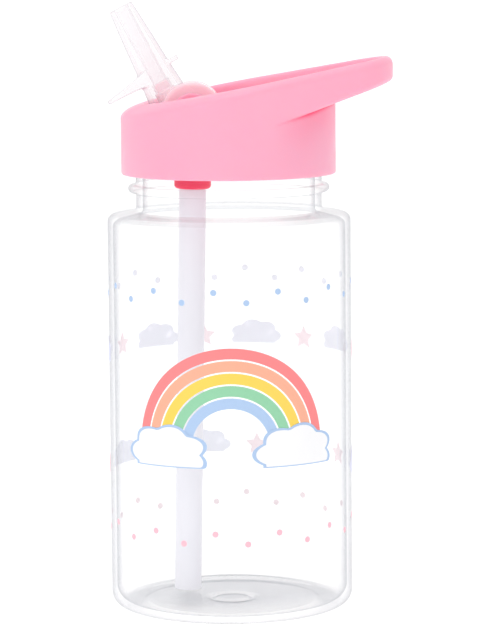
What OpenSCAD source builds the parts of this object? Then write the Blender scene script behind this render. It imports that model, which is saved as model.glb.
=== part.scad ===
// Kids water bottle: clear body, pink screw lid with a carry loop, clear flip-up spout, straw.
// Millimetres, +Z up, origin at the centre of the base, +X towards the carry loop.

/* [Bottle] */
// Outside diameter of the body
body_d = 72; // [70:0.5:76]
// Height of the shoulder's outer corner
shoulder_z = 117; // [90:1:130]
// Thickness of the side wall
wall = 1.6; // [1.2:0.1:2]
// Corner radius at the foot
foot_r = 4; // [3:0.5:5]
// Corner radius at the shoulder
shoulder_r = 2.2; // [2:0.1:3]
// Outside diameter of the neck
neck_d = 55; // [54:0.5:55]
// Outside diameter of the ring moulded round the neck
bead_d = 59.6; // [58:0.2:61]

/* [Screw thread] */
// Rise of the thread in one turn
thread_pitch = 4; // [3.8:0.1:4.2]
// Number of turns of each thread
thread_turns = 1.25; // [1:0.25:1.25]

/* [Lid] */
// Outside diameter of the round part of the lid
lid_d = 63.4; // [62.8:0.2:65]
// Gap between the shoulder's corner and the lid's lower edge
lid_gap = 11.6; // [11.5:0.1:13]
// Distance of the loop's round end from the bottle's axis
loop_x = 29.9; // [27:0.5:32]
// Radius of the loop's round end
loop_r = 18.7; // [17:0.1:20]
// Slope of the lid's top, rise over run
top_slope = 0.187; // [0.15:0.005:0.21]
// Slope of the loop's underside, rise over run
under_slope = 0.337; // [0.31:0.005:0.36]
// Width of the rim round the tray
rim_w = 5.5; // [5:0.1:6]

/* [Spout] */
// Lean of the open spout from upright, in degrees
spout_lean = 27.5; // [25:0.5:30]
// Length of the spout from the pivot to its tip
spout_length = 37.1; // [32:0.1:39]
// Diameter of the spout where it meets the drum
spout_base_d = 12; // [11:0.1:12.4]
// Diameter of the spout at its tip
spout_tip_d = 7.3; // [6.8:0.1:8]
// Diameter of the pivot drum
hub_d = 18; // [17:0.2:18]
// Length of the pivot drum
hub_w = 15; // [14:0.5:15]

/* [Straw] */
// Outside diameter of the straw
straw_d = 8; // [7:0.2:8.4]
// Thickness of the straw's wall
straw_wall = 0.8; // [0.6:0.1:1]
// Lean of the straw from upright, in degrees
straw_lean = 1.2; // [0:0.1:1.5]

/* [Hidden] */
$fn = 96;
eps = 0.01;
far = 200;

// bottle
body_r = body_d / 2;
neck_r = neck_d / 2;
neck_wall = 2;
neck_foot_z = shoulder_z + 1.3;       // top of the sloping shoulder
bead_z = shoulder_z + 7.5;          // middle height of the ring round the neck
bead_h = 2.4;
lid_z = shoulder_z + lid_gap;       // lower edge of the lid
neck_top_z = lid_z + 10.4;
floor_t = 1.8;
punt_r = 26;                        // the pushed-up middle of the base
punt_h = 1.4;
punt_slope_w = 3;
gate_r = 6;                         // small ring at the middle of the base
gate_h = 0.7;
gate_w = 1.4;

// threads: one start, half a pitch apart when the lid is closed
thread_root_w = 1.8;
thread_crest_w = 0.9;
thread_bite = 0.4;                  // how deep the ridge is rooted in its wall
neck_thread_r = neck_r + 0.95;
neck_thread_z = lid_z + 3.8;
lid_thread_r = neck_r + 0.45;
lid_thread_z = neck_thread_z - thread_pitch / 2;
thread_step = 9;                    // degrees between two sections of a ridge
thread_fade = 3;                    // sections over which a ridge fades out

// lid
lid_r = lid_d / 2;
lid_wall = 1.4;
sheet = 1.6;                        // ceiling, gasket and tray floor
gasket_top_z = neck_top_z + sheet;
ceiling_z = gasket_top_z + sheet;   // top face of the inner lid
tray_z = ceiling_z + sheet;         // level part of the tray's floor
top_z = lid_z + 25.7;               // height of the sloping top over the axis
under_z = lid_z + 10.9;             // height of the loop's underside plane over the axis
ramp_t = 2.4;                       // thickness of the tray's ramp
loop_angle = asin((lid_r - loop_r) / loop_x);
under_start_x = 16;
rim_round_w = 5;                    // rounding of the rim: width, height, sideways shift
rim_round_h = 3;
rim_round_shift = 2.2;
tray_shift = 2;
finger_gap = 0.5;                   // finger hole's edge, outside the round wall
insert_r = lid_r - lid_wall - 0.1;
insert_in_r = neck_r + 1.3;
insert_rise = 0.8;                  // inner lid's edge above the outer lid's edge
gasket_r = neck_r + 0.8;
gasket_in_r = neck_r - neck_wall + 0.2;
plug_r = neck_r - neck_wall - 0.4;
plug_wall = 1.2;
plug_drop = 3.4;

// pivot, drum and cradle
hub_r = hub_d / 2;
hub_x = -10.6;
hub_z = lid_z + 18.2;
trunnion_r = 3;
trunnion_len = 2.7;
pivot_gap = 0.05;                   // running clearance of the trunnions
side_gap = 0.4;
trough_gap = 0.3;
ear_r = 6;
ear_t = 2.6;
ear_y = hub_w / 2 + side_gap;       // inner face of an ear
cradle_wall = 2.3;
cradle_floor_z = hub_z - hub_r - 3.4;
window_gap = 0.4;
bore_r = 2.1;
seal_r = 4.6;
seal_gap = 0.05;
seal_z = hub_z - hub_r - 1.9;
nozzle_r = 3.3;
nozzle_z = lid_z + 0.8;

// spout, along its own axis from the pivot's level upwards
spout_offset = hub_r * sin(spout_lean);  // the straight bore meets the drum's lowest line
spout_foot = 3.5;
spout_waist = 17;
spout_waist_r = 5.1;
spigot_r = 3.1;
spigot_top = 9.6;
spigot_tip_r = 2.0;
spigot_tip = 12.2;
spigot_bore_r = 1.4;
spout_bore_r = 2.2;
fit_gap = 0.05;
tab_mid = 14.9;                     // thumb tab: middle, root and end thickness, reach, width
tab_root_t = 3.8;
tab_end_t = 1.2;
tab_drop = 1;
tab_reach = 16.4;
tab_w = 10;
stop_mid = 16.4;
stop_t = 1.4;
stop_reach = 8;
stop_w = 5;

// straw and its sleeve, in a frame that leans with the straw
straw_r = straw_d / 2;
straw_foot_z = 4.2;
sleeve_r = straw_r + 1.45;
sleeve_top = lid_z + 5;
sleeve_foot = lid_z - 4.4;
sleeve_seat = lid_z + 0.5;          // where the straw ends and the nozzle begins
sleeve_round = 1.2;

// umbrella valve
valve_x = 14;
valve_r = 3.4;
valve_t = 0.8;
valve_stem_r = 0.95;
valve_hole_r = 1;
valve_bulb_r = 1.6;

clear_plastic = [0.93, 0.96, 0.98, 0.45];
pink = [1.0, 0.69, 0.79];
hub_pink = [1.0, 0.72, 0.8];
deep_pink = [1.0, 0.25, 0.42];
silicone = [0.95, 0.95, 0.95];
straw_grey = [0.86, 0.86, 0.88, 0.7];

// points on an arc, centre (x, z), from angle a to angle b
function arc(x, z, r, a, b, n = 8) =
    [for (i = [0:n]) let (t = a + (b - a) * i / n) [x + r * cos(t), z + r * sin(t)]];

// a solid from a side view (X, Z), as wide as asked for along Y
module side_view(points, width = far) {
    rotate([90, 0, 0])
        linear_extrude(height = width, center = true)
            polygon(points);
}

// one ridge of a screw thread on a round wall: crest > wall for an outside thread
module ridge(wall_r, crest_r, start_z) {
    out = crest_r > wall_r ? 1 : -1;
    root = wall_r - out * thread_bite;
    hidden = wall_r - out * thread_bite / 2;
    steps = round(360 * thread_turns / thread_step);
    points = [for (i = [0:steps])
        let (k = min(1, i / thread_fade, (steps - i) / thread_fade),
             a = i * thread_step, z = start_z + thread_pitch * a / 360,
             crest = hidden + (crest_r - hidden) * k)
        for (p = [[root, -thread_root_w / 2], [crest, -thread_crest_w / 2],
                  [crest, thread_crest_w / 2], [root, thread_root_w / 2]])
            [p[0] * cos(a), p[0] * sin(a), z + p[1]]];
    sides = [for (i = [0:steps - 1], j = [0:3])
        let (a = 4 * i + j, b = 4 * i + (j + 1) % 4)
        each [[a, b, b + 4], [a, b + 4, a + 4]]];
    ends = [[0, 2, 1], [0, 3, 2], [4 * steps, 4 * steps + 1, 4 * steps + 2],
            [4 * steps, 4 * steps + 2, 4 * steps + 3]];
    all = concat(sides, ends);
    polyhedron(points, out < 0 ? [for (f = all) [f[2], f[1], f[0]]] : all, convexity = 6);
}

// ---- bottle -----------------------------------------------------------------

module bottle_profile() {
    in_r = body_r - wall;
    polygon(concat(
        [[0, punt_h], [gate_r - gate_w / 2, punt_h], [gate_r - gate_w / 2, punt_h - gate_h],
         [gate_r + gate_w / 2, punt_h - gate_h], [gate_r + gate_w / 2, punt_h],
         [punt_r, punt_h], [punt_r + punt_slope_w, 0]],
        arc(body_r - foot_r, foot_r, foot_r, -90, 0),
        arc(body_r - shoulder_r, shoulder_z - shoulder_r, shoulder_r, 0, 80),
        [[neck_r + 1.2, neck_foot_z - 0.4], [neck_r + 0.4, neck_foot_z], [neck_r, neck_foot_z + 0.9]],
        [[neck_r, bead_z - bead_h / 2]],
        arc(bead_d / 2 - bead_h / 2, bead_z, bead_h / 2, -90, 90),
        [[neck_r, bead_z + bead_h / 2], [neck_r, neck_top_z - 0.5], [neck_r - 0.5, neck_top_z]],
        [[neck_r - neck_wall, neck_top_z], [neck_r - neck_wall, neck_foot_z + 0.4],
         [neck_r - neck_wall + 0.8, neck_foot_z - 1.4]],
        arc(in_r - shoulder_r, shoulder_z - shoulder_r - wall, shoulder_r, 80, 0),
        arc(in_r - foot_r, foot_r + floor_t, foot_r, 0, -90),
        [[punt_r + punt_slope_w, floor_t], [punt_r - 1, floor_t + punt_h], [0, floor_t + punt_h]]));
}

module bottle_body() {
    color(clear_plastic) {
        rotate_extrude() bottle_profile();
        ridge(neck_r, neck_thread_r, neck_thread_z);
    }
}

module neck_gasket() {
    color(silicone)
        translate([0, 0, neck_top_z])
            difference() {
                cylinder(h = sheet, r = gasket_r);
                translate([0, 0, -1]) cylinder(h = sheet + 2, r = gasket_in_r);
            }
}

// ---- outer lid --------------------------------------------------------------

// plan of the lid: a circle that runs out tangentially into the loop's round end
module lid_plan(inset = 0) {
    a = lid_r - inset;
    b = loop_r - inset;
    s = sin(loop_angle);
    c = cos(loop_angle);
    circle(r = a);
    translate([loop_x, 0]) circle(r = b);
    polygon([[a * s, -a * c], [loop_x + b * s, -b * c], [loop_x + b * s, b * c], [a * s, a * c]]);
}

function top_at(x) = top_z + top_slope * x;
function under_at(x) = under_z + under_slope * x;

// slices of the rim's rounding, lying in the sloping top plane
module rim_slice(inset, drop) {
    multmatrix([[1, 0, 0, 0], [0, 1, 0, 0], [top_slope, 0, 1, top_z - drop], [0, 0, 0, 1]])
        translate([rim_round_shift * max(inset, 0) / rim_round_w, 0, 0])
            linear_extrude(height = eps) lid_plan(inset, $fn = 72);
}

module rim_envelope() {
    hull() {
        for (t = [0:16:80])
            rim_slice(rim_round_w * (1 - sin(t)), rim_round_h * (1 - cos(t)));
        rim_slice(-0.8, rim_round_h + 1);
        rim_slice(-0.8, 60);
    }
}

module lid_blank() {
    difference() {
        intersection() {
            translate([0, 0, lid_z]) linear_extrude(height = 60) lid_plan();
            rim_envelope();
        }
        // below the loop, everything outside the round wall
        intersection() {
            translate([0, 0, lid_z - 1]) linear_extrude(height = 60) difference() {
                translate([under_start_x, -far / 2]) square([far, far]);
                circle(r = lid_r);
            }
            side_view([[0, lid_z - 2], [0, under_at(0)], [far, under_at(far)], [far, lid_z - 2]]);
        }
    }
}

module tray_plan() {
    translate([tray_shift, 0]) lid_plan(rim_w);
}

module lid_shell() {
    ramp_x = (tray_z - under_z - ramp_t) / under_slope;
    color(pink)
        difference() {
            lid_blank();
            // tray for the folded spout: level, then a ramp that runs with the loop's underside
            intersection() {
                linear_extrude(height = far + lid_z) tray_plan();
                side_view([[-far, tray_z], [ramp_x, tray_z], [far, under_at(far) + ramp_t],
                           [far, 2 * far], [-far, 2 * far]]);
            }
            // finger hole
            linear_extrude(height = far + lid_z) difference() {
                tray_plan();
                circle(r = lid_r + finger_gap);
            }
            // room for the inner lid and, over it, the hollow under the ramp
            translate([0, 0, lid_z - 1]) cylinder(h = ceiling_z - lid_z + 1, r = insert_r + 0.1);
            intersection() {
                cylinder(h = far, r = insert_r - 0.6);
                side_view([[ramp_x + 2, ceiling_z - 1], [ramp_x + 2, ceiling_z + 0.2],
                           [far, under_at(far) + ramp_t - sheet], [far, ceiling_z - 1]]);
            }
            // window for the cradle
            translate([hub_x, 0, ceiling_z])
                cube([2 * (hub_r + cradle_wall + window_gap),
                      2 * (ear_y + ear_t + window_gap), 6 * sheet], center = true);
        }
}

// ---- inner lid --------------------------------------------------------------

module along_pivot(r, length) {
    translate([hub_x, 0, hub_z])
        rotate([90, 0, 0])
            cylinder(h = length, r = r, center = true);
}

module ear(side) {
    foot = ceiling_z - sheet / 2 - hub_z;
    translate([hub_x, side * (ear_y + ear_t / 2), hub_z])
        rotate([90, 0, 0])
            linear_extrude(height = ear_t, center = true) {
                circle(r = ear_r);
                translate([-ear_r, foot]) square([2 * ear_r, -foot]);
            }
}

module lid_insert() {
    cradle = [2 * (hub_r + cradle_wall), 2 * (ear_y + ear_t), ceiling_z - cradle_floor_z];
    color(pink)
        difference() {
            union() {
                // skirt and ceiling
                difference() {
                    translate([0, 0, lid_z + insert_rise])
                        cylinder(h = ceiling_z - lid_z - insert_rise, r = insert_r);
                    translate([0, 0, lid_z]) cylinder(h = gasket_top_z - lid_z, r = insert_in_r);
                }
                ridge(insert_in_r, lid_thread_r, lid_thread_z);
                // plug that reaches into the bottle's mouth
                translate([0, 0, gasket_top_z - plug_drop]) difference() {
                    cylinder(h = plug_drop + sheet / 2, r = plug_r);
                    translate([0, 0, -1]) cylinder(h = plug_drop + sheet + 1, r = plug_r - plug_wall);
                }
                // cradle for the drum, with its two ears
                translate([hub_x - cradle[0] / 2, -cradle[1] / 2, cradle_floor_z]) cube(cradle);
                for (side = [-1, 1]) ear(side);
                // nozzle for the straw's sleeve
                translate([hub_x, 0, nozzle_z])
                    cylinder(h = cradle_floor_z - nozzle_z + 1, r = nozzle_r);
            }
            along_pivot(hub_r + trough_gap, 2 * ear_y);
            along_pivot(trunnion_r + pivot_gap, far);
            translate([hub_x, 0, nozzle_z - 1]) cylinder(h = hub_z - nozzle_z, r = bore_r);
            translate([hub_x, 0, seal_z]) cylinder(h = hub_r, r = seal_r + fit_gap);
            translate([valve_x, 0, gasket_top_z - 1]) cylinder(h = sheet + 2, r = valve_hole_r);
        }
}

module hub_seal() {
    color(silicone)
        difference() {
            translate([hub_x, 0, seal_z]) cylinder(h = 3.4, r = seal_r);
            translate([hub_x, 0, seal_z - 1]) cylinder(h = 6, r = bore_r);
            along_pivot(hub_r + seal_gap, far);
        }
}

module air_valve() {
    color(silicone)
        translate([valve_x, 0, 0]) {
            translate([0, 0, gasket_top_z - valve_t]) cylinder(h = valve_t, r = valve_r);
            translate([0, 0, gasket_top_z - 0.2]) cylinder(h = sheet + 0.4, r = valve_stem_r);
            translate([0, 0, ceiling_z]) cylinder(h = 1.4, r1 = valve_bulb_r, r2 = valve_stem_r / 2);
        }
}

// ---- spout ------------------------------------------------------------------

// frame of the open spout: +Z along the spout, +X towards the loop
module spout_frame() {
    translate([hub_x, 0, hub_z])
        rotate([0, -spout_lean, 0])
            translate([-spout_offset, 0, 0])
                children();
}

module spout_hub() {
    color(hub_pink)
        difference() {
            union() {
                along_pivot(hub_r, hub_w);
                along_pivot(trunnion_r, hub_w + 2 * trunnion_len);
                spout_frame() {
                    cylinder(h = spigot_top, r = spigot_r);
                    translate([0, 0, spigot_top - 1])
                        cylinder(h = spigot_tip - spigot_top + 1, r1 = spigot_r - 0.5, r2 = spigot_tip_r);
                }
            }
            spout_frame() translate([0, 0, -hub_d]) cylinder(h = 2 * hub_d, r = spigot_bore_r);
        }
}

module mouthpiece() {
    tip_r = spout_tip_d / 2;
    base_r = spout_base_d / 2;
    color(clear_plastic)
        difference() {
            spout_frame() {
                rotate_extrude()
                    polygon([[0, spout_foot], [base_r, spout_foot], [base_r, spout_foot + 4],
                             [spout_waist_r, spout_waist], [tip_r, spout_length - 0.5],
                             [tip_r - 0.5, spout_length], [0, spout_length]]);
                // thumb tab on the side away from the loop
                side_view([[0, tab_mid - tab_root_t / 2], [0, tab_mid + tab_root_t / 2],
                           [-spout_waist_r, tab_mid + tab_root_t / 2],
                           [-tab_reach, tab_mid - tab_drop + tab_end_t / 2],
                           [-tab_reach, tab_mid - tab_drop - tab_end_t / 2],
                           [-spout_waist_r, tab_mid - tab_root_t / 2]], tab_w);
                // small stop on the side towards the loop
                translate([0, -stop_w / 2, stop_mid - stop_t / 2]) cube([stop_reach, stop_w, stop_t]);
            }
            spout_frame() {
                cylinder(h = spout_length + 1, r = spout_bore_r);
                cylinder(h = spigot_top + fit_gap, r = spigot_r + fit_gap);
                cylinder(h = spigot_tip + fit_gap, r = spigot_r - 0.5 + fit_gap);
            }
            along_pivot(hub_r + fit_gap, far);
        }
}

// ---- straw ------------------------------------------------------------------

module straw_frame() {
    translate([hub_x, 0, sleeve_seat])
        rotate([0, straw_lean, 0])
            children();
}

module straw_adapter() {
    depth = sleeve_seat - sleeve_foot;
    height = sleeve_top - sleeve_foot;
    color(deep_pink)
        difference() {
            straw_frame()
                translate([0, 0, -depth])
                    rotate_extrude()
                        polygon(concat([[0, 0]],
                            arc(sleeve_r - sleeve_round, sleeve_round, sleeve_round, -90, 0, 5),
                            [[sleeve_r, height - 0.5], [sleeve_r - 0.5, height], [0, height]]));
            straw_frame() translate([0, 0, -depth - 1]) cylinder(h = depth + 1, r = straw_r + fit_gap);
            translate([hub_x, 0, sleeve_seat - 0.5]) cylinder(h = height, r = nozzle_r + fit_gap);
        }
}

module straw() {
    length = (sleeve_seat - straw_foot_z) / cos(straw_lean);
    color(straw_grey)
        straw_frame()
            translate([0, 0, -length])
                difference() {
                    cylinder(h = length - 0.6, r = straw_r);
                    translate([0, 0, -1]) cylinder(h = length + 2, r = straw_r - straw_wall);
                }
}

bottle_body();
neck_gasket();
lid_shell();
lid_insert();
hub_seal();
air_valve();
spout_hub();
mouthpiece();
straw_adapter();
straw();
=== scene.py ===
"""Kids water bottle with a screw lid, a carry loop, a flip-up spout and a straw.

The pieces follow in the order in which the bottle is put together: the clear bottle and its print,
the straw and its sleeve, the gasket, the inner lid with its seal and valve, the outer lid, the
pivot drum and the mouthpiece. Sizes are in millimetres and every mesh is made in metres.
"""
import math

import bpy
import numpy as np
from mathutils import Matrix, Vector
from mathutils.geometry import delaunay_2d_cdt


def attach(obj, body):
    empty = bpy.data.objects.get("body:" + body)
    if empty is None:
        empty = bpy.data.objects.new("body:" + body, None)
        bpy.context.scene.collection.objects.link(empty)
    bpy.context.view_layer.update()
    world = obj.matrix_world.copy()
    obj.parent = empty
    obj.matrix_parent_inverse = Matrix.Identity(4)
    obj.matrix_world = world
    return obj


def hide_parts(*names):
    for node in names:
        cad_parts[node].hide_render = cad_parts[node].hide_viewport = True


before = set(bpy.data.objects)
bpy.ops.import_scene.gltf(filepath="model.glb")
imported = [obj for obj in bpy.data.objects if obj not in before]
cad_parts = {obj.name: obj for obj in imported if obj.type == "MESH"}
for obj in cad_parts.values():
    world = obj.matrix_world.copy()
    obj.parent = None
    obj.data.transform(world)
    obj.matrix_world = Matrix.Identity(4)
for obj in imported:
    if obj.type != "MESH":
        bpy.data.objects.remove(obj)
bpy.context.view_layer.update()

# ---- Studio ----------------------------------------------------------------------------------
# The bottle stands on a plain white sweep that curves up behind it. A white room lights it, with
# soft boxes above and in front.
MM = 0.001


def srgb(red, green, blue):
    """Linear colour of an 8-bit screen colour: ((c + 0.055) / 1.055) to the power 2.4."""
    c = np.array([red, green, blue]) / 255
    linear = np.where(c > 0.04045, ((c + 0.055) / 1.055) ** 2.4, c / 12.92)
    return (*(float(v) for v in linear), 1.0)


def make_object(name, points, faces, smooth=True):
    """An object at the origin from an array of points in millimetres and rows of corner numbers."""
    mesh = bpy.data.meshes.new(name)
    mesh.from_pydata((np.asarray(points, float) * MM).tolist(), [], [list(f) for f in faces])
    mesh.polygons.foreach_set("use_smooth", np.full(len(mesh.polygons), smooth))
    mesh.update()
    obj = bpy.data.objects.new(name, mesh)
    bpy.context.scene.collection.objects.link(obj)
    return obj


def arc(across, up, radius, start, end, steps=10):
    """Points on a circle round (across, up), evenly from the start angle to the end angle."""
    t = np.radians(np.linspace(start, end, steps + 1))
    return np.stack([across + radius * np.cos(t), up + radius * np.sin(t)], 1)


def plain_material(name, colour, roughness):
    """A matt Principled material for the studio."""
    material = bpy.data.materials.new(name)
    material.use_nodes = True
    shader = material.node_tree.nodes["Principled BSDF"]
    shader.inputs["Base Color"].default_value = colour
    shader.inputs["Roughness"].default_value = roughness
    return material


sweep_half = 5000
sweep_back = 1500
sweep_bend = 500
sweep_line = np.vstack([[[-sweep_half, 0]],
                        arc(sweep_back - sweep_bend, sweep_bend, sweep_bend, -90, 0, 16),
                        [[sweep_back, 5000]]])
sweep_points = np.vstack([np.insert(sweep_line, 0, side, axis=1) for side in (-sweep_half, sweep_half)])
count = len(sweep_line)
sweep = make_object("sweep", sweep_points, [(i, i + count, i + count + 1, i + 1) for i in range(count - 1)])
sweep.data.materials.append(plain_material("white_sweep", (0.92, 0.92, 0.92, 1), 0.9))
sweep_shader = sweep.data.materials[0].node_tree.nodes["Principled BSDF"]
sweep_shader.inputs["Emission Color"].default_value = (1, 1, 1, 1)
sweep_shader.inputs["Emission Strength"].default_value = 0.24

world = bpy.data.worlds.new("white_room")
world.use_nodes = True
world.node_tree.nodes["Background"].inputs["Color"].default_value = (1, 1, 1, 1)
world_rays = world.node_tree.nodes.new("ShaderNodeLightPath")
world_level = world.node_tree.nodes.new("ShaderNodeMapRange")
world_level.inputs["To Min"].default_value = 0.74
world_level.inputs["To Max"].default_value = 1.1
world.node_tree.links.new(world_rays.outputs["Is Camera Ray"], world_level.inputs["Value"])
world.node_tree.links.new(world_level.outputs["Result"], world.node_tree.nodes["Background"].inputs["Strength"])
bpy.context.scene.world = world


def soft_box(name, place, aim, size, power):
    """A square area light in metres that faces the point it is aimed at."""
    data = bpy.data.lights.new(name, "AREA")
    data.size = size
    data.energy = power
    light = bpy.data.objects.new(name, data)
    light.location = place
    light.rotation_euler = (Vector(aim) - Vector(place)).to_track_quat("-Z", "Y").to_euler()
    bpy.context.scene.collection.objects.link(light)


soft_box("top_box", (-0.1, -0.1, 1.1), (0, 0, 0.1), 0.9, 2.6)
soft_box("front_box", (-0.7, -1.1, 0.6), (0, 0, 0.1), 0.7, 2.4)
soft_box("fill_box", (0.9, -0.9, 0.3), (0, 0, 0.1), 0.6, 0.5)

# The camera stands 0.93 m away, a little above the lid, and looks slightly down.
camera_distance, camera_height = 0.93368, 0.19613
camera_pitch, camera_yaw, camera_roll = 0.1162, 0.0064, -0.0079
look = Vector((math.sin(camera_yaw) * math.cos(camera_pitch),
               math.cos(camera_yaw) * math.cos(camera_pitch), -math.sin(camera_pitch)))
level = Vector((math.cos(camera_yaw), -math.sin(camera_yaw), 0))
upright = level.cross(look)
right = level * math.cos(camera_roll) + upright * math.sin(camera_roll)
up = upright * math.cos(camera_roll) - level * math.sin(camera_roll)
camera_data = bpy.data.cameras.new("camera")
camera_data.sensor_width = 36
camera_data.lens = 182.25
camera = bpy.data.objects.new("camera", camera_data)
camera.matrix_world = Matrix.Translation((0, -camera_distance, camera_height)) @ Matrix(
    (right, up, -look)).transposed().to_4x4()
bpy.context.scene.collection.objects.link(camera)
bpy.context.scene.camera = camera
bpy.context.scene.view_settings.view_transform = "Standard"


# ---- Bottle ----------------------------------------------------------------------------------
# Blow-moulded from clear copolyester: a straight body with a pushed-up base, a flat shoulder, and
# a neck with a ring for the mould's grip and one turn and a quarter of outside screw thread.
def moulded_surface():
    """Shared node group: cloudy colour, uneven gloss and a fine skin from three noises."""
    group = bpy.data.node_groups.new("Moulded surface", "ShaderNodeTree")
    for label, kind, value in (("Colour", "NodeSocketColor", (1, 1, 1, 1)),
                               ("Deep colour", "NodeSocketColor", (1, 1, 1, 1)),
                               ("Gloss low", "NodeSocketFloat", 0.3), ("Gloss high", "NodeSocketFloat", 0.4),
                               ("Cloud scale", "NodeSocketFloat", 40.0), ("Grain scale", "NodeSocketFloat", 2500.0),
                               ("Grain depth", "NodeSocketFloat", 0.1)):
        group.interface.new_socket(label, in_out="INPUT", socket_type=kind).default_value = value
    for label, kind in (("Colour", "NodeSocketColor"), ("Roughness", "NodeSocketFloat"),
                        ("Normal", "NodeSocketVector")):
        group.interface.new_socket(label, in_out="OUTPUT", socket_type=kind)
    add, join = group.nodes.new, group.links.new
    given, result = add("NodeGroupInput"), add("NodeGroupOutput")
    place = add("ShaderNodeTexCoord")
    cloud = add("ShaderNodeTexNoise")
    grain = add("ShaderNodeTexNoise")
    smear = add("ShaderNodeTexNoise")
    grain.inputs["Detail"].default_value = 1
    smear.inputs["Scale"].default_value = 90
    smear.inputs["Distortion"].default_value = 1.2
    tint = add("ShaderNodeMix")
    tint.data_type = "RGBA"
    gloss = add("ShaderNodeMapRange")
    gloss.inputs["From Min"].default_value = 0.35
    gloss.inputs["From Max"].default_value = 0.65
    bump = add("ShaderNodeBump")
    bump.inputs["Distance"].default_value = 0.0001
    for noise in (cloud, grain, smear):
        join(place.outputs["Object"], noise.inputs["Vector"])
    join(given.outputs["Cloud scale"], cloud.inputs["Scale"])
    join(given.outputs["Grain scale"], grain.inputs["Scale"])
    join(given.outputs["Colour"], tint.inputs["A"])
    join(given.outputs["Deep colour"], tint.inputs["B"])
    join(cloud.outputs["Fac"], tint.inputs["Factor"])
    join(smear.outputs["Fac"], gloss.inputs["Value"])
    join(given.outputs["Gloss low"], gloss.inputs["To Min"])
    join(given.outputs["Gloss high"], gloss.inputs["To Max"])
    join(grain.outputs["Fac"], bump.inputs["Height"])
    join(given.outputs["Grain depth"], bump.inputs["Strength"])
    join(tint.outputs["Result"], result.inputs["Colour"])
    join(gloss.outputs["Result"], result.inputs["Roughness"])
    join(bump.outputs["Normal"], result.inputs["Normal"])
    return group


MOULDED = moulded_surface()


def moulded(name, colour, deep_or_edge_shade=None, gloss=(0.3, 0.4), grain=(2500, 0.1), clear=False, edge=(0.3, 0.9),
            thin=(0.12, 0.9), **settings):
    """A moulded plastic or rubber: the shared surface with this finish's values, and its shader's."""
    material = bpy.data.materials.new(name)
    material.use_nodes = True
    nodes, join = material.node_tree.nodes, material.node_tree.links.new
    shader = nodes["Principled BSDF"]
    surface = nodes.new("ShaderNodeGroup")
    surface.node_tree = MOULDED
    surface.inputs["Gloss low"].default_value, surface.inputs["Gloss high"].default_value = gloss
    surface.inputs["Grain scale"].default_value, surface.inputs["Grain depth"].default_value = grain
    if clear:
        # light on its way to what stands inside goes straight through the thin wall
        rays, open_wall = nodes.new("ShaderNodeLightPath"), nodes.new("ShaderNodeBsdfTransparent")
        open_wall.inputs["Color"].default_value = (1, 1, 1, 1)
        wall_seen = shader.outputs["BSDF"]
        for kind_of_ray in ("Is Diffuse Ray", "Is Shadow Ray"):
            either = nodes.new("ShaderNodeMixShader")
            join(rays.outputs[kind_of_ray], either.inputs[0])
            join(wall_seen, either.inputs[1])
            join(open_wall.outputs["BSDF"], either.inputs[2])
            wall_seen = either.outputs[0]
        join(wall_seen, nodes["Material Output"].inputs["Surface"])
        facing, density = nodes.new("ShaderNodeLayerWeight"), nodes.new("ShaderNodeMapRange")
        facing.inputs["Blend"].default_value = 0.5
        density.inputs["From Min"].default_value, density.inputs["From Max"].default_value = edge
        density.inputs["To Min"].default_value, density.inputs["To Max"].default_value = thin
        join(facing.outputs["Facing"], density.inputs["Value"])
        join(density.outputs["Result"], shader.inputs["Alpha"])
        # Painted shade: where the wall is seen edge-on, the base colour turns towards the second colour, dark edge
        # lines that stand in for reflections of dark surroundings.
        depth, tint = nodes.new("ShaderNodeMapRange"), nodes.new("ShaderNodeMix")
        depth.inputs["From Min"].default_value = 0.6
        tint.data_type = "RGBA"
        tint.inputs["A"].default_value = colour
        tint.inputs["B"].default_value = deep_or_edge_shade or colour
        join(facing.outputs["Facing"], depth.inputs["Value"])
        join(depth.outputs["Result"], tint.inputs["Factor"])
        join(tint.outputs["Result"], shader.inputs["Base Color"])
    else:
        surface.inputs["Colour"].default_value = colour
        surface.inputs["Deep colour"].default_value = deep_or_edge_shade or colour
        join(surface.outputs["Colour"], shader.inputs["Base Color"])
    join(surface.outputs["Roughness"], shader.inputs["Roughness"])
    join(surface.outputs["Normal"], shader.inputs["Normal"])
    for label, value in settings.items():
        shader.inputs[label.replace("_", " ")].default_value = value
    return material


def revolve(name, profile, bulge=None, steps=256):
    """A profile of (radius, height) points carried round the upright axis.

    A point at angle t lies at (r cos t, r sin t, z), with r the profile's radius plus the bulge's.
    The profile runs with its solid on the left; where it ends on the axis, one point closes it.
    """
    profile = np.asarray(profile, float)
    poles = profile[0, 0] == 0
    ring = profile[1:-1] if poles else profile
    t = np.arange(steps) * 2 * np.pi / steps
    r = np.repeat(ring[:, :1], steps, axis=1)
    z = np.repeat(ring[:, 1:], steps, axis=1)
    if bulge is not None:
        r = r + bulge(t[None, :], r, z)
    points = np.stack([r * np.cos(t), r * np.sin(t), z], 2).reshape(-1, 3)
    rows = len(ring)
    i = np.arange(rows - 1 if poles else rows)[:, None]
    j = np.arange(steps)[None, :]
    a, b = i * steps + j, i * steps + (j + 1) % steps
    c, d = (i + 1) % rows * steps + (j + 1) % steps, (i + 1) % rows * steps + j
    faces = np.stack([a, b, c, d], 2).reshape(-1, 4).tolist()
    if poles:
        first, last = len(points), len(points) + 1
        points = np.vstack([points, [[0, 0, profile[0, 1]], [0, 0, profile[-1, 1]]]])
        ends = (rows - 1) * steps
        faces += [(first, (k + 1) % steps, k) for k in range(steps)]
        faces += [(last, ends + k, ends + (k + 1) % steps) for k in range(steps)]
    return make_object(name, points, faces)


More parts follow.
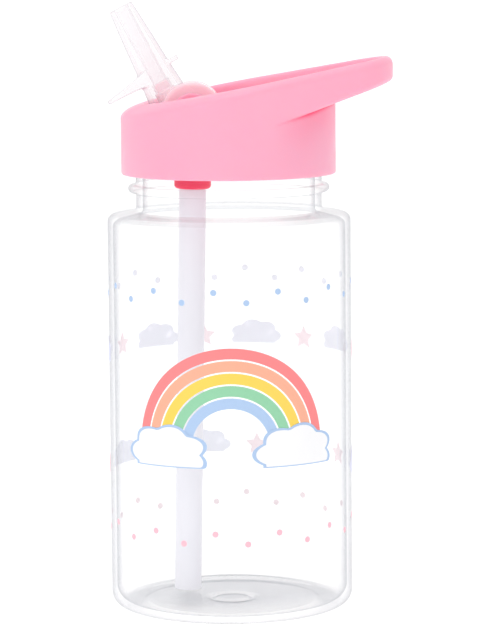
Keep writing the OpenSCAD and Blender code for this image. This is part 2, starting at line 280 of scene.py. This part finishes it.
body_r = 36
wall = 1.6
foot_r = 4
shoulder_z = 117
shoulder_r = 2.2
neck_r = 27.5
neck_wall = 2
neck_foot_z = shoulder_z + 1.3
bead_r, bead_z, bead_h = 29.8, shoulder_z + 7.5, 2.4
lid_z = shoulder_z + 11.6
neck_top_z = lid_z + 10.4
thread_pitch, thread_turns = 4, 1.25
thread_z = lid_z + 3.8
thread_depth = 0.95
thread_root_w, thread_crest_w = 1.8, 0.9
thread_fade = 0.075


def screw_ridge(start_z, depth):
    """Height of a screw ridge: a ramp of the distance from the helix, faded at both its ends."""
    def height(t, r, z):
        best = np.zeros(np.broadcast(t, z).shape)
        for lap in range(2):
            turn = t / (2 * np.pi) + lap
            off = np.abs(z - start_z - thread_pitch * turn)
            ramp = np.clip((thread_root_w / 2 - off) / ((thread_root_w - thread_crest_w) / 2), 0, 1)
            ends = np.clip(np.minimum(turn, thread_turns - turn) / thread_fade, 0, 1)
            best = np.maximum(best, ramp * ramp * (3 - 2 * ramp) * ends)
        return best * depth
    return height


neck_ridge = screw_ridge(thread_z, thread_depth)
outside = np.vstack([
    [[0, 1.4], [2.6, 1.4], [4.9, 1.3], [5.3, 0.8], [6.0, 0.7], [6.7, 0.8], [7.1, 1.3], [9, 1.4], [16, 1.4], [25, 1.4]],
    arc(25, 0.4, 1, 80, 30, 4), [[28, 0.15]],
    arc(body_r - foot_r, foot_r, foot_r, -86, 0, 14),
    [[body_r, z] for z in np.linspace(10, shoulder_z - shoulder_r - 4, 12)],
    arc(body_r - shoulder_r, shoulder_z - shoulder_r, shoulder_r, 0, 80, 10),
    [[31.4, shoulder_z + 0.45]],
    arc(neck_r + 1.4, neck_foot_z + 1, 1.4, 258, 180, 8),
    [[neck_r, bead_z - bead_h / 2 - 0.4]],
    arc(bead_r - bead_h / 2, bead_z, bead_h / 2, -90, 90, 14),
    [[neck_r, bead_z + bead_h / 2 + 0.4]],
    [[neck_r, z] for z in np.linspace(lid_z, neck_top_z - 0.7, 56)],
    arc(neck_r - 0.5, neck_top_z - 0.5, 0.5, 10, 90, 5)])
inside = np.vstack([
    arc(neck_r - neck_wall + 0.3, neck_top_z - 0.3, 0.3, 90, 180, 4),
    [[neck_r - neck_wall, neck_foot_z + 1.5]],
    arc(neck_r - neck_wall + 1.6, neck_foot_z + 0.2, 1.6, 180, 258, 8),
    [[31, shoulder_z - 1.25]],
    arc(body_r - wall - shoulder_r, shoulder_z - shoulder_r - wall, shoulder_r, 78, 0, 10),
    [[body_r - wall, z] for z in (96, 60, 24)],
    arc(body_r - wall - foot_r, foot_r + 1.8, foot_r, 0, -86, 12),
    [[28, 2.0], [26.6, 2.5], [25, 3.1], [16, 3.2], [6, 3.2], [0, 3.2]]])
bottle = revolve("clear_bottle", np.vstack([outside, inside]),
                 bulge=lambda t, r, z: np.where(r > neck_r - 0.1, neck_ridge(t, r, z), 0) * (z > lid_z))
# the dark blue-grey second colour is painted shade along the wall where it is seen edge-on
bottle.data.materials.append(moulded("clear_copolyester", srgb(226, 229, 236), srgb(84, 92, 114), gloss=(0.03, 0.07),
                                     grain=(30, 0.05), clear=True, edge=(0.62, 0.99), thin=(0.025, 0.75), IOR=1.5))
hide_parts("bottle_body")
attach(bottle, "bottle")


# ---- Print -----------------------------------------------------------------------------------
# Inks printed on the outside of the body: a plain rainbow between two clouds in front, then
# clouds, stars and dots at even steps round the rest. Each shape is a thin closed skin over a pale
# underprint. The underprints are given a little emission, a painted glow that stands in for light coming through them
# from behind.
ink_step = 0.04
ink_skin = 0.028
round_body = 2 * math.pi * body_r
inks = {}


def rolled(flat, height):
    """Flat points (u, z) wrapped round the body: (r sin(u / R), -r cos(u / R), z), r = R + height."""
    r, t = body_r + height, flat[:, 0] / body_r
    return np.stack([r * np.sin(t), -r * np.cos(t), flat[:, 1]], 1)


def keep_ink(colour, points, faces):
    """Add a skin to the ink of its colour, with its corner numbers moved past those before it."""
    kept = inks.setdefault(colour, ([], [], [0]))
    kept[0].append(points)
    kept[1].extend(tuple(n + kept[2][0] for n in face) for face in faces)
    kept[2][0] += len(points)


def fill(colour, outline, layer, underprint="white_underprint"):
    """A filled shape: the outline and a grid inside it are joined by triangles, then wrapped round.

    The skin has that sheet on top, the same sheet below, and a wall along its free edges.
    """
    outline = np.asarray(outline, float)
    low, high = outline.min(0), outline.max(0)
    u, z = (g.ravel() for g in np.meshgrid(np.arange(low[0] + 1, high[0], 2), np.arange(low[1] + 2, high[1], 4)))
    after = np.roll(outline, -1, 0)
    crossing = (outline[:, 1] > z[:, None]) != (after[:, 1] > z[:, None])
    rise = np.where(after[:, 1] == outline[:, 1], 1, after[:, 1] - outline[:, 1])
    where = outline[:, 0] + (z[:, None] - outline[:, 1]) / rise * (after[:, 0] - outline[:, 0])
    inside = (crossing & (u[:, None] < where)).sum(1) % 2 == 1
    grid = np.stack([u, z], 1)[inside]
    apart = np.hypot(*(grid[:, None] - outline[None]).transpose(2, 0, 1)).min(1)
    flat = np.vstack([outline, grid[apart > 0.6]])
    corners, _, triangles, *_ = delaunay_2d_cdt([Vector(p) for p in flat], [],
                                                [list(range(len(outline)))], 1, 1e-5)
    flat = np.array([tuple(p) for p in corners])
    edges = {(f[i], f[(i + 1) % 3]) for f in triangles for i in range(3)}
    rim = [(a, b) for a, b in edges if (b, a) not in edges]
    count = len(flat)
    for name, level in ((colour, layer), (underprint, 0)):
        if name is None:
            continue
        base = ink_step * (level + 0.5)
        faces = [tuple(f) for f in triangles] + [tuple(n + count for n in f[::-1]) for f in triangles]
        faces += [(b, a, a + count, b + count) for a, b in rim]
        keep_ink(name, np.vstack([rolled(flat, base + ink_skin), rolled(flat, base)]), faces)


def ring_of(centre, radius):
    """A closed outline round the centre: radius(t) at 72 even angles t."""
    t = np.linspace(0, 2 * np.pi, 72, endpoint=False)
    r = radius(t)
    return np.stack([centre[0] + r * np.cos(t), centre[1] + r * np.sin(t)], 1)


def cloud(centre, half_width):
    """A cloud: an ellipse whose radius swells by |sin(3.5 t)|, cut level a little under its middle."""
    flat = ring_of((0, 0), lambda t: half_width * (0.84 + 0.16 * np.abs(np.sin(3.5 * t))))
    return np.stack([centre[0] + flat[:, 0], centre[1] + np.maximum(0.62 * flat[:, 1], -0.28 * half_width)], 1)


def star(centre, reach):
    """A five-pointed star: ten corners at even angles, every other one at half the reach."""
    t = np.radians(90 + 36 * np.arange(10))
    r = reach * np.where(np.arange(10) % 2, 0.5, 1.0)
    return np.stack([centre[0] + r * np.cos(t), centre[1] + r * np.sin(t)], 1)


band_w, band_overlap = 3.6, 0.5
bow_r, bow_z = 29, 52
cloud_half, cloud_edge, small_cloud_half = 14, 1.2, 8
star_reach = 3.6
low_row_z, row_gap = 42, 34
dot_r, dot_low_z, dot_gap, dot_stagger = 0.9, 24, 70, 3
small_clouds, dots_round = 8, 24
for band, colour in enumerate(("coral", "peach", "yellow", "leaf_green", "sky_blue")):
    outer = bow_r - band * band_w
    inner = outer - band_w + band_overlap
    fill(colour, np.vstack([arc(0, bow_z, outer, 0, 180, 48), arc(0, bow_z, inner, 180, 0, 48)]), 1)
for side in (-1, 1):
    foot = (side * (bow_r - 2.5 * band_w), bow_z - 2)
    fill("sky_blue", cloud(foot, cloud_half), 3)
    fill("cloud_white", cloud(foot, cloud_half - cloud_edge), 4)
for step in range(small_clouds):
    place = round_body * (0.5 + (step - 3.5) / 14)
    rise = row_gap * (step % 2)
    fill("cloud_lilac", cloud((place, low_row_z + rise), small_cloud_half), 2, "lilac_underprint")
    fill("blush_pink", star((place, low_row_z + row_gap - rise), star_reach), 2, "pink_underprint")
for step in range(dots_round):
    place = round_body * (step + 0.5) / dots_round
    for row, colour, under in ((0, "blush_pink", "pink_underprint"), (1, "sky_blue", "lilac_underprint")):
        height = dot_low_z + dot_gap * row + dot_stagger * (step % 2)
        fill(colour, ring_of((place, height), lambda t: dot_r), 2, under)

for name, colour in {
        "white_underprint": (250, 250, 250), "lilac_underprint": (236, 238, 250),
        "pink_underprint": (255, 232, 238), "coral": (255, 138, 140), "peach": (252, 180, 150),
        "yellow": (255, 217, 90), "leaf_green": (150, 213, 172), "sky_blue": (178, 205, 240), "cloud_white": (253, 253, 255),
        "cloud_lilac": (222, 224, 245), "blush_pink": (255, 196, 210)}.items():
    print_piece = make_object("ink_" + name, np.vstack(inks[name][0]), inks[name][1], smooth=False)
    deeper = srgb(*(0.97 * c for c in colour))
    # painted glow: the underprints emit a little light in place of light shining through them from behind
    painted_glow = 0.26 if "underprint" in name else 0
    print_piece.data.materials.append(moulded("ink_" + name, srgb(*colour), deeper, gloss=(0.32, 0.45),
                                              grain=(6000, 0.05), Emission_Strength=painted_glow))
    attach(print_piece, "bottle")

# ---- Straw and sleeve ------------------------------------------------------------------------
# A stiff drinking straw of milky polyethylene, pushed into a deep pink silicone sleeve that grips
# the nozzle under the lid. Both lean a little, so that the straw's foot reaches the near corner.
pivot_x, pivot_z = -10.6, lid_z + 18.2
straw_r, straw_wall = 4.0, 0.8
straw_lean = math.radians(1.2)
sleeve_seat = lid_z + 0.5
sleeve_foot, sleeve_head = -4.9, 4.5
straw_length = (sleeve_seat - 4.2) / math.cos(straw_lean)


def lean_about_seat(obj):
    """Turn a mesh about the upright's Y axis by the straw's lean and carry it to the sleeve's seat."""
    obj.data.transform(Matrix.Translation((pivot_x * MM, 0, sleeve_seat * MM))
                       @ Matrix.Rotation(straw_lean, 4, "Y"))
    return obj


straw = lean_about_seat(revolve("drinking_straw", np.vstack([
    arc(straw_r - 0.3, 0.3 - straw_length, 0.3, -90, 0, 4), [[straw_r, z] for z in np.linspace(-110, -10, 11)],
    arc(straw_r - 0.3, -0.9, 0.3, 0, 90, 4), arc(straw_r - straw_wall + 0.2, -0.8, 0.2, 90, 180, 3),
    arc(straw_r - straw_wall + 0.2, 0.2 - straw_length, 0.2, 180, 270, 3)]), steps=96))
straw.data.materials.append(moulded("milky_polyethylene", srgb(239, 238, 244), srgb(232, 232, 240), gloss=(0.3, 0.42),
                                    grain=(900, 0.12), IOR=1.5))
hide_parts("straw")
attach(straw, "lid")

sleeve = lean_about_seat(revolve("straw_sleeve", np.vstack([
    arc(straw_r + 0.35, sleeve_foot + 0.3, 0.3, 180, 270, 3),
    arc(4.25, sleeve_foot + 1.2, 1.2, -90, 0, 8),
    [[5.45, -1.2], [5.6, -1.0], [5.6, -0.4], [5.45, -0.2], [5.45, sleeve_head - 0.5]],
    arc(4.95, sleeve_head - 0.5, 0.5, 20, 90, 4), [[3.5, sleeve_head], [3.5, 0], [straw_r + 0.05, 0]]]), steps=96))
sleeve.data.materials.append(moulded("deep_pink_silicone", srgb(255, 28, 84), srgb(250, 20, 76), gloss=(0.38, 0.5),
                                     grain=(3500, 0.1), Subsurface_Weight=0.1))
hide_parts("straw_adapter")
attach(sleeve, "lid")


# ---- Gasket ----------------------------------------------------------------------------------
# A flat ring of white silicone between the neck's top face and the ceiling of the inner lid.
gasket_in, gasket_out, gasket_t = 25.7, 28.3, 1.6
gasket = revolve("neck_ring", np.vstack([
    arc(gasket_out - 0.4, neck_top_z + 0.4, 0.4, -90, 0, 4),
    arc(gasket_out - 0.4, neck_top_z + gasket_t - 0.4, 0.4, 0, 90, 4),
    arc(gasket_in + 0.4, neck_top_z + gasket_t - 0.4, 0.4, 90, 180, 4),
    arc(gasket_in + 0.4, neck_top_z + 0.4, 0.4, 180, 270, 4)]),
    steps=160)
white_silicone = moulded("white_silicone", srgb(240, 240, 240), srgb(232, 232, 234), gloss=(0.45, 0.6),
                         grain=(3000, 0.12), Subsurface_Weight=0.1)
gasket.data.materials.append(white_silicone)
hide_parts("neck_gasket")
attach(gasket, "sealing_ring")


# ---- Inner lid -------------------------------------------------------------------------------
# The lid is two pink mouldings. The inner one carries the screw thread, the ceiling that presses
# on the gasket, a plug inside the neck, and the cradle whose two ears hold the drum's pins.
def blend_max(a, b, k):
    """The larger of two distances, rounded where they differ by less than k."""
    h = np.clip(0.5 + (a - b) / (2 * k), 0, 1)
    return b + (a - b) * h + k * h * (1 - h)


def blend_min(a, b, k):
    """The smaller of two distances, filleted where they differ by less than k."""
    return -blend_max(-a, -b, k)


def skin(name, field, low, high, cell, settle=4):
    """The closed surface where a field of distances is zero, negative inside, in millimetres.

    Each cell of a grid that the surface crosses gets a point at the mean of its edges' crossings,
    each crossed edge joins the four cells round it, and Newton steps settle the points.
    """
    axes = [np.arange(a - 2 * cell, b + 3 * cell, cell) for a, b in zip(low, high)]
    value = field(*np.meshgrid(*axes, indexing="ij"))
    solid = value < 0
    cells = np.array(value.shape) - 1
    total, hits = np.zeros((3, cells.prod())), np.zeros(cells.prod())
    quads = []
    for axis in range(3):
        near = [slice(None)] * 3
        far = [slice(None)] * 3
        near[axis], far[axis] = slice(None, -1), slice(1, None)
        edge = np.argwhere(solid[tuple(near)] != solid[tuple(far)])
        start = value[tuple(near)][tuple(edge.T)]
        stop = value[tuple(far)][tuple(edge.T)]
        place = edge.astype(float)
        place[:, axis] += start / (start - stop)
        one, two = (axis + 1) % 3, (axis + 2) % 3
        ring = []
        for back_one, back_two in ((1, 1), (0, 1), (0, 0), (1, 0)):
            cell_at = edge.copy()
            cell_at[:, one] -= back_one
            cell_at[:, two] -= back_two
            number = np.ravel_multi_index(cell_at.T, cells)
            hits += np.bincount(number, minlength=len(hits))
            for k in range(3):
                total[k] += np.bincount(number, place[:, k], minlength=len(hits))
            ring.append(number)
        ring = np.stack(ring, 1)
        outward = start < 0
        quads.append(np.where(outward[:, None], ring, ring[:, ::-1]))
    used = np.flatnonzero(hits)
    points = (total[:, used] / hits[used]).T * cell + [a[0] for a in axes]
    step = 0.02
    for _ in range(settle):
        here = field(*points.T)
        slope = np.stack([(field(*(points + step * np.eye(3)[k]).T) - field(*(points - step * np.eye(3)[k]).T))
                          / (2 * step) for k in range(3)], 1)
        move = here[:, None] * slope / np.maximum((slope ** 2).sum(1), 0.05)[:, None]
        length = np.linalg.norm(move, axis=1)[:, None]
        points -= move * np.minimum(1, 0.35 * cell / np.maximum(length, 1e-9))
    renumber = np.zeros(len(hits), int)
    renumber[used] = np.arange(len(used))
    return make_object(name, points, renumber[np.vstack(quads)].tolist())


insert_r, insert_in_r = 30.2, neck_r + 1.3
insert_foot_z = lid_z + 0.8
sheet = 1.6
gasket_top_z = neck_top_z + sheet
ceiling_z = gasket_top_z + sheet
plug_mid_r, plug_half, plug_drop = neck_r - neck_wall - 1, 0.6, 3.4
hub_r, hub_half = 9.0, 7.5
ear_r, ear_t, ear_y = 6.0, 2.6, hub_half + 0.4
cradle_half_x, cradle_half_y, cradle_floor_z = hub_r + 2.3, ear_y + ear_t, pivot_z - hub_r - 3.4
trough_r, pin_r, pin_gap = hub_r + 0.3, 3.0, 0.05
nozzle_r, nozzle_foot_z, bore_r = 3.3, lid_z + 0.8, 2.1
seal_r, seal_z = 4.6, pivot_z - hub_r - 1.9
valve_x, valve_hole_r = 14, 1.0
lid_ridge = screw_ridge(thread_z - thread_pitch / 2, 0.85)


def inner_lid(x, y, z):
    """Skirt with its thread, ceiling, plug, cradle, ears and nozzle, less the drum's and seal's room."""
    r = np.hypot(x, y)
    t = np.arctan2(y, x) % (2 * np.pi)
    shell = blend_max(blend_max(r - insert_r, z - ceiling_z, 0.6), insert_foot_z - z, 0.5)
    cup = blend_max(r - insert_in_r + lid_ridge(t, r, z), z - gasket_top_z, 0.3)
    body = blend_max(shell, -cup, 0.4)
    plug = blend_max(np.abs(r - plug_mid_r) - plug_half, gasket_top_z - plug_drop - z, 0.6)
    body = blend_min(body, np.maximum(plug, z - ceiling_z + 0.8), 0.3)
    from_hub, side = np.hypot(x - pivot_x, z - pivot_z), np.abs(y)
    cradle = blend_max(blend_max(np.abs(x - pivot_x) - cradle_half_x, side - cradle_half_y, 1.2),
                       np.maximum(cradle_floor_z - z, z - ceiling_z), 0.4)
    body = blend_min(body, cradle, 0.4)
    shape = np.minimum(from_hub - ear_r, np.maximum(np.abs(x - pivot_x) - ear_r, z - pivot_z))
    ear = blend_max(np.maximum(shape, ceiling_z - 0.8 - z), np.abs(side - ear_y - ear_t / 2) - ear_t / 2, 0.8)
    body = blend_min(body, ear, 0.3)
    from_nozzle = np.hypot(x - pivot_x, y)
    nozzle = np.maximum(from_nozzle - nozzle_r, np.maximum(nozzle_foot_z - z, z - cradle_floor_z - 1))
    body = blend_min(body, nozzle, 0.6)
    body = blend_max(body, -np.maximum(from_hub - trough_r, side - ear_y), 0.3)
    body = np.maximum(body, pin_r + pin_gap - from_hub)
    body = np.maximum(body, -np.maximum(from_nozzle - bore_r, z - pivot_z))
    body = np.maximum(body, -np.maximum(from_nozzle - seal_r - 0.05, seal_z - z))
    return np.maximum(body, valve_hole_r - np.hypot(x - valve_x, y))


inner = skin("lid_inside", inner_lid, (-30.2, -30.2, insert_foot_z), (30.2, 30.2, pivot_z + ear_r), 0.45)
pink_face, pink_deep = srgb(255, 176, 200), srgb(254, 166, 193)
lid_finish = dict(gloss=(0.3, 0.44), grain=(2600, 0.14), Subsurface_Weight=0.2, Subsurface_Scale=0.004, IOR=1.49)
inner.data.materials.append(moulded("pink_polypropylene_inside", pink_face, pink_deep, **lid_finish))
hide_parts("lid_insert")
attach(inner, "lid")


# ---- Seal and air valve ----------------------------------------------------------------------
# Two white silicone mouldings in the inner lid: a collar that seals the nozzle against the drum,
# and an umbrella valve that lets air in as the child drinks.
for node in ("hub_seal", "air_valve"):
    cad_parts[node].data.materials.clear()
    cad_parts[node].data.materials.append(white_silicone)


# ---- Outer lid -------------------------------------------------------------------------------
# The outer pink moulding: a round cap drawn out into a carry loop, with a rounded rim, a sloping
# top, a sunk tray for the folded spout, a finger hole and a window for the drum.
lid_r, loop_x, loop_r = 31.7, 29.9, 18.7
top_z, top_slope = lid_z + 25.7, 0.187
under_z, under_slope = lid_z + 10.9, 0.337
rim_w, rim_round_w, rim_round_h, rim_round_shift = 5.5, 5.0, 3.0, 2.2
tray_z, tray_shift, ramp_t = ceiling_z + sheet, 2.0, 2.4
ramp_x = (tray_z - under_z - ramp_t) / under_slope
drawn_in = (lid_r - loop_r) / loop_x
drawn_out = math.sqrt(1 - drawn_in ** 2)


def lid_plan(x, y):
    """Distance outside a circle drawn out by its tangents to a smaller one, and the outline's slant.

    Beside the big circle it is the distance to its centre less its radius, beyond the tangents'
    ends the same for the small circle, and between them the distance to the tangent line.
    """
    side = np.abs(y)
    along = drawn_out * x - drawn_in * side
    big, small = np.hypot(x, side), np.hypot(x - loop_x, side)
    first, last = along < 0, along > drawn_out * loop_x
    distance = np.where(first, big - lid_r, np.where(last, small - loop_r, drawn_out * side + drawn_in * x - lid_r))
    slant = np.where(first, x / np.maximum(big, 1e-6),
                     np.where(last, (x - loop_x) / np.maximum(small, 1e-6), drawn_in))
    return distance, slant


def outer_lid(x, y, z):
    """The plan under a sloping top with a quarter-ellipse rim, less the loop's underside and the tray."""
    r = np.hypot(x, y)
    distance, slant = lid_plan(x, y)
    width = rim_round_w - rim_round_shift * slant
    out, over = distance / width + 1, (z - top_z - top_slope * x) / rim_round_h + 1
    rim = (np.hypot(np.maximum(out, 0), np.maximum(over, 0)) + np.minimum(np.maximum(out, over), 0) - 1) * rim_round_h
    below_loop = (under_z + under_slope * x - z) / math.hypot(1, under_slope)
    softness = 1.5 * np.clip((x - 17) / 14, 0.02, 1)
    body = blend_max(rim, blend_min(r - lid_r, below_loop, 0.35), softness)
    body = blend_max(body, lid_z - z, 0.6)
    tray = lid_plan(x - tray_shift, y)[0] + rim_w
    floor = blend_max(np.full_like(x, tray_z), under_z + ramp_t + under_slope * x, 3)
    body = blend_max(body, -blend_max(tray, floor - z, 1.6), 2.2)
    body = blend_max(body, -blend_max(tray, lid_r + 0.5 - r, 0.8), 0.9)
    body = np.maximum(body, -np.maximum(r - insert_r - 0.1, z - ceiling_z))
    hollow = np.maximum(np.maximum(r - insert_r + 0.6, z - under_z - under_slope * x - ramp_t + sheet),
                        np.maximum(ceiling_z - 1 - z, ramp_x + 2 - x))
    body = np.maximum(body, -hollow)
    window = blend_max(np.abs(x - pivot_x) - cradle_half_x - 0.4, np.abs(y) - cradle_half_y - 0.4, 1.4)
    return blend_max(body, -np.maximum(window, np.abs(z - ceiling_z) - 4.8), 0.4)


lid = skin("lid_outside", outer_lid, (-31.7, -31.7, lid_z), (48.6, 31.7, 163.4), 0.5)
pink_shell = moulded("pink_polypropylene", pink_face, pink_deep, **lid_finish)
# Painted shade: a vertex attribute turns the pink towards a deep red in a thin band on the cap's wall just under the
# loop's overhang, where the crease lies in shadow.
places = np.empty(3 * len(lid.data.vertices))
lid.data.vertices.foreach_get("co", places)
px, py, pz = places.reshape(-1, 3).T / MM
below = np.maximum(under_z + under_slope * px - pz, 0)
from_wall = np.abs(np.hypot(px, py) - lid_r)
line = np.exp(-((from_wall + below) / (1.2 * np.clip((px - 12) / 12, 0.35, 1))) ** 2)
painted_crease_shade = (np.maximum(line, 0.22 * np.exp(-(below / 9) ** 2 - from_wall ** 2)) * np.clip((px - 13) / 10, 0, 1)
          * np.clip((under_z + under_slope * px - pz) / 0.5 + 1, 0, 1))
lid.data.attributes.new("painted_crease_shade", "FLOAT", "POINT").data.foreach_set("value", painted_crease_shade)
nodes, join = pink_shell.node_tree.nodes, pink_shell.node_tree.links.new
painted_crease_node, painted_crease_mix = nodes.new("ShaderNodeAttribute"), nodes.new("ShaderNodeMix")
painted_crease_node.attribute_name = "painted_crease_shade"
painted_crease_mix.data_type = "RGBA"
join(painted_crease_node.outputs["Fac"], painted_crease_mix.inputs["Factor"])
join(nodes["Group"].outputs["Colour"], painted_crease_mix.inputs["A"])
# the deep red of the painted crease shade
painted_crease_mix.inputs["B"].default_value = srgb(255, 52, 108)
join(painted_crease_mix.outputs["Result"], nodes["Principled BSDF"].inputs["Base Color"])
lid.data.materials.append(pink_shell)
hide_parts("lid_shell")
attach(lid, "lid")


# ---- Pivot drum ------------------------------------------------------------------------------
# A pink drum that turns on two pins in the lid's ears, with a barbed spigot for the mouthpiece and
# a straight bore, which meets the nozzle only when the spout stands up.
spout_lean = math.radians(27.5)
spout_offset = hub_r * math.sin(spout_lean)
spigot_r, spigot_top, spigot_tip, spigot_tip_r, spigot_bore_r = 3.1, 9.6, 12.2, 2.0, 1.4


def along_spout(x, z):
    """Places across and along the open spout: the drum's frame turned back by the spout's lean."""
    over, above = x - pivot_x, z - pivot_z
    return (over * math.cos(spout_lean) + above * math.sin(spout_lean) + spout_offset,
            above * math.cos(spout_lean) - over * math.sin(spout_lean))


def drum(x, y, z):
    """A rounded drum with two pins, a spigot that narrows above its barb, and a bore through it all."""
    from_hub, side = np.hypot(x - pivot_x, z - pivot_z), np.abs(y)
    across, along = along_spout(x, z)
    off_axis = np.hypot(across, y)
    body = blend_max(from_hub - hub_r, side - hub_half, 1.4)
    body = blend_min(body, blend_max(from_hub - pin_r, side - hub_half - 2.7, 0.5), 0.3)
    spigot = blend_max(off_axis - spigot_r, np.maximum(along - spigot_top, -along), 0.5)
    taper = np.interp(along, (spigot_top - 1, spigot_tip), (spigot_r - 0.5, spigot_tip_r))
    tip = blend_max(off_axis - taper, np.maximum(along - spigot_tip, -along), 0.4)
    body = blend_min(body, np.minimum(spigot, tip), 0.6)
    return np.maximum(body, spigot_bore_r - off_axis)


pivot_drum = skin("pivot_drum", drum, (-24, -10.4, 137.6), (-1, 10.4, 158.5), 0.3)
pivot_drum.data.materials.append(moulded("pale_pink_acetal", srgb(255, 220, 228), srgb(255, 210, 220), gloss=(0.2, 0.32),
                                         grain=(2600, 0.08), Subsurface_Weight=0.12, Subsurface_Scale=0.004))
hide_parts("spout_hub")
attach(pivot_drum, "spout")


# ---- Mouthpiece ------------------------------------------------------------------------------
# A soft clear spout pushed over the spigot. A thumb tab on its outer side flips it up, and a small
# stop on the other side meets the tray when it is folded down.
spout_foot, spout_length, spout_bore_r = 3.5, 37.1, 2.2
tab_mid, tab_reach, tab_half_w = 14.9, 16.4, 5.0
stop_mid, stop_reach = 16.4, 8.0


def clear_spout(x, y, z):
    """A tapering tube with a tab and a stop, less its bore, the spigot's socket and the drum."""
    across, along = along_spout(x, z)
    off_axis, side = np.hypot(across, y), np.abs(y)
    outline = np.interp(along, (3.5, 7, 9, 17, 26, 34, 36.2), (6.0, 6.0, 5.9, 5.1, 4.5, 3.85, 3.65))
    tube = blend_max(off_axis - outline, np.maximum(along - spout_length, spout_foot - along), 0.7)
    share = np.clip((-across - 4) / (tab_reach - 4), 0, 1)
    tab = np.abs(along - tab_mid + share) - 0.6 - 1.35 * (1 - share) ** 1.6
    tab = blend_max(tab, blend_max(side - tab_half_w + 0.8 * share, -tab_reach - across, 3.0), 0.7)
    body = blend_min(tube, np.maximum(tab, across), 1.2)
    stop = blend_max(np.abs(along - stop_mid) - 0.65, blend_max(side - 2.5, across - stop_reach, 1.2), 0.5)
    body = blend_min(body, np.maximum(stop, -across), 0.7)
    body = np.maximum(body, spout_bore_r - off_axis)
    socket = np.where(along < spigot_top + 0.05, spigot_r + 0.06,
                      np.where(along < spigot_tip + 0.05, spigot_r - 0.4, 0))
    body = np.maximum(body, socket - off_axis)
    return np.maximum(body, hub_r + 0.06 - np.hypot(x - pivot_x, z - pivot_z))


spout = skin("clear_mouthpiece", clear_spout, (-37.5, -6.2, 144.2), (-8, 6.2, 179.6), 0.28)
# the grey second colour is painted shade where the spout's wall is seen edge-on
spout.data.materials.append(moulded("clear_silicone", srgb(243, 240, 244), srgb(168, 160, 172), gloss=(0.06, 0.14),
                                    grain=(400, 0.1), clear=True, edge=(0.25, 0.95), thin=(0.24, 0.9), IOR=1.41))
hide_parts("mouthpiece")
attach(spout, "spout")
